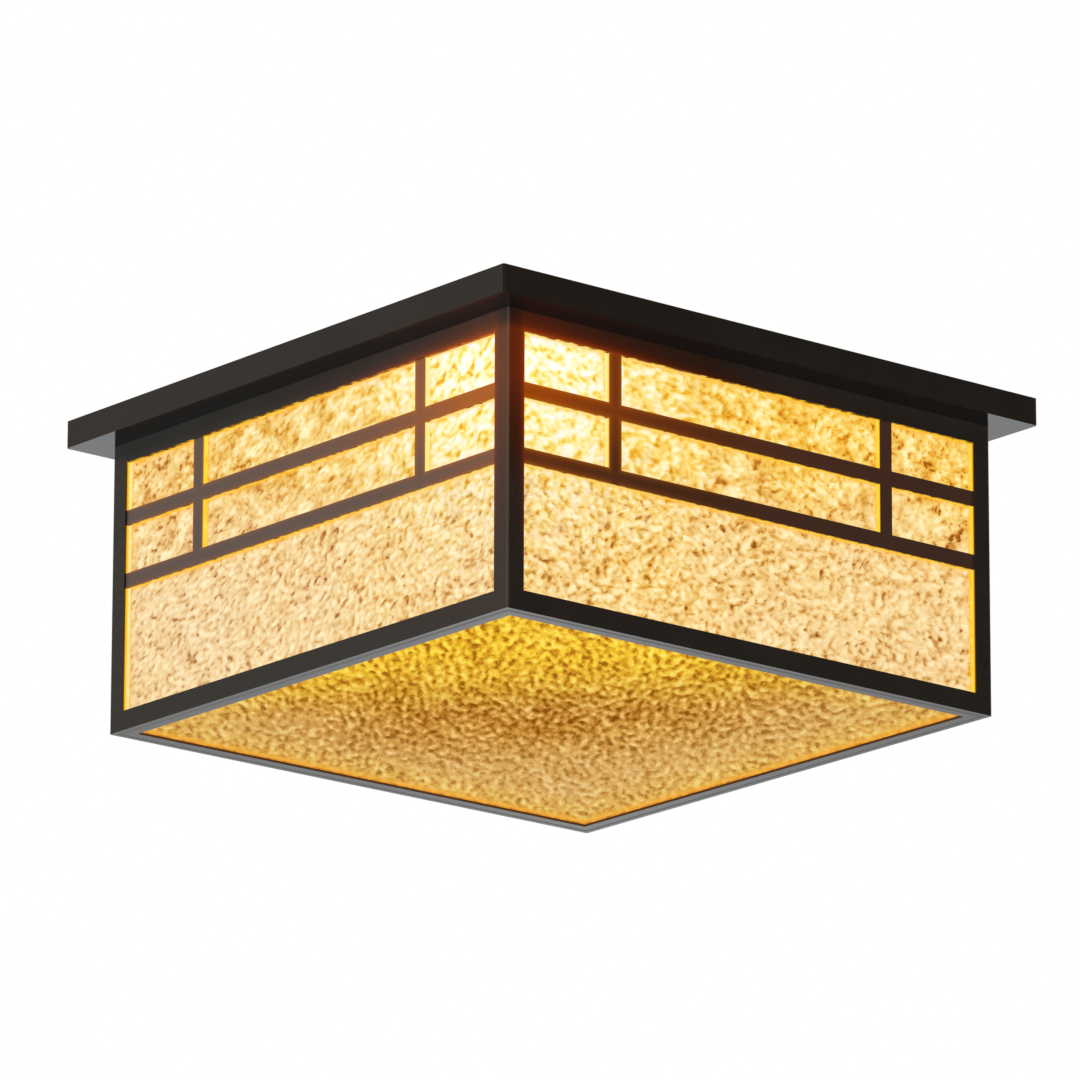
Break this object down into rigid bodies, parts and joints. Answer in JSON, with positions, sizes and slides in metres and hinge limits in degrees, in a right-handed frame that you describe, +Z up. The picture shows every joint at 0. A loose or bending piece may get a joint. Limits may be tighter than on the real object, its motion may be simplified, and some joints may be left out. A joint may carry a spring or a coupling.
{
  "type": "porch ceiling lantern",
  "caption": "Square flush-mount porch lantern: overhanging canopy, bronze lattice cage with amber glass sides, hinged glass bottom and lamps on the diagonal.",
  "frame": {"origin": "centre of the ceiling plane, on the top face of the mounting strap", "axes": "+Z up into the ceiling; -Y is the front, away from the hinge; the lantern hangs along -Z"},
  "size_m": [0.333, 0.333, 0.1577],
  "materials": {
    "bronze_paint": "satin dark bronze powder coat",
    "white_enamel": "satin white enamel",
    "zinc_steel": "zinc plated",
    "nickel": "nickel plated",
    "brass": "plain brass",
    "green_screw": "green plated",
    "black_rubber": "matt",
    "gasket_foam": "closed-cell foam",
    "amber_silicone": "translucent amber silicone",
    "amber_glass": "hammered amber glass",
    "porcelain": "glazed",
    "bulb_glass": "clear",
    "cap_metal": "bright",
    "black_insulator": "gloss black",
    "filament": "yellow phosphor on a clear stem"
  },
  "bodies": {
    "lantern": {"bottom_rail_back": "bronze_paint", "bottom_rail_front": "bronze_paint", "bottom_rail_left": "bronze_paint", "bottom_rail_right": "bronze_paint", "bracket_nuts": "zinc_steel", "bracket_screws": "zinc_steel", "cage_screws": "zinc_steel", "canopy_pan": "bronze_paint", "cap_nuts": "nickel", "catch_magnets": "nickel", "ceiling_gasket": "gasket_foam", "centre_contact_back": "brass", "centre_contact_front": "brass", "clip_screws": "zinc_steel", "glass_back": "amber_glass", "glass_clips": "zinc_steel", "glass_front": "amber_glass", "glass_left": "amber_glass", "glass_right": "amber_glass", "ground_screw": "green_screw", "holder_screws": "zinc_steel", "lampholder_back": "porcelain", "lampholder_bracket": "white_enamel", "lampholder_front": "porcelain", "lattice_back": "bronze_paint", "lattice_front": "bronze_paint", "lattice_left": "bronze_paint", "lattice_right": "bronze_paint", "magnet_brackets": "bronze_paint", "mounting_strap": "zinc_steel", "post_back_left": "bronze_paint", "post_back_right": "bronze_paint", "post_front_left": "bronze_paint", "post_front_right": "bronze_paint", "reflector_tray": "white_enamel", "screw_shell_back": "brass", "screw_shell_front": "brass", "side_seals": "amber_silicone", "strap_lock_nuts": "zinc_steel", "strap_studs": "zinc_steel", "stud_washers": "zinc_steel", "terminal_screws": "brass", "top_rail_back": "bronze_paint", "top_rail_front": "bronze_paint", "top_rail_left": "bronze_paint", "top_rail_right": "bronze_paint", "wire_grommet": "black_rubber"},
    "bottom_door": {"door_frame": "bronze_paint", "door_seal": "amber_silicone", "door_glass": "amber_glass", "hinge_pins": "zinc_steel"},
    "front_bulb": {"bulb_globe_front": "bulb_glass", "bulb_cap_front": "cap_metal", "bulb_base_front": "black_insulator", "bulb_filament_front": "filament"},
    "back_bulb": {"bulb_globe_back": "bulb_glass", "bulb_cap_back": "cap_metal", "bulb_base_back": "black_insulator", "bulb_filament_back": "filament"}
  },
  "joints": [
    {"name": "door_hinge", "type": "hinge", "parent": "lantern", "child": "bottom_door", "pos_m": [0, 0.1443, -0.1551], "axis": [1, 0, 0], "range_deg": [0, 100]},
    {"name": "front_bulb_turn", "type": "hinge", "parent": "lantern", "child": "front_bulb", "pos_m": [0.08818, -0.08818, -0.0587], "axis": [0.7071, -0.7071, 0], "continuous": true},
    {"name": "back_bulb_turn", "type": "hinge", "parent": "lantern", "child": "back_bulb", "pos_m": [-0.08818, 0.08818, -0.0587], "axis": [-0.7071, 0.7071, 0], "continuous": true}
  ]
}
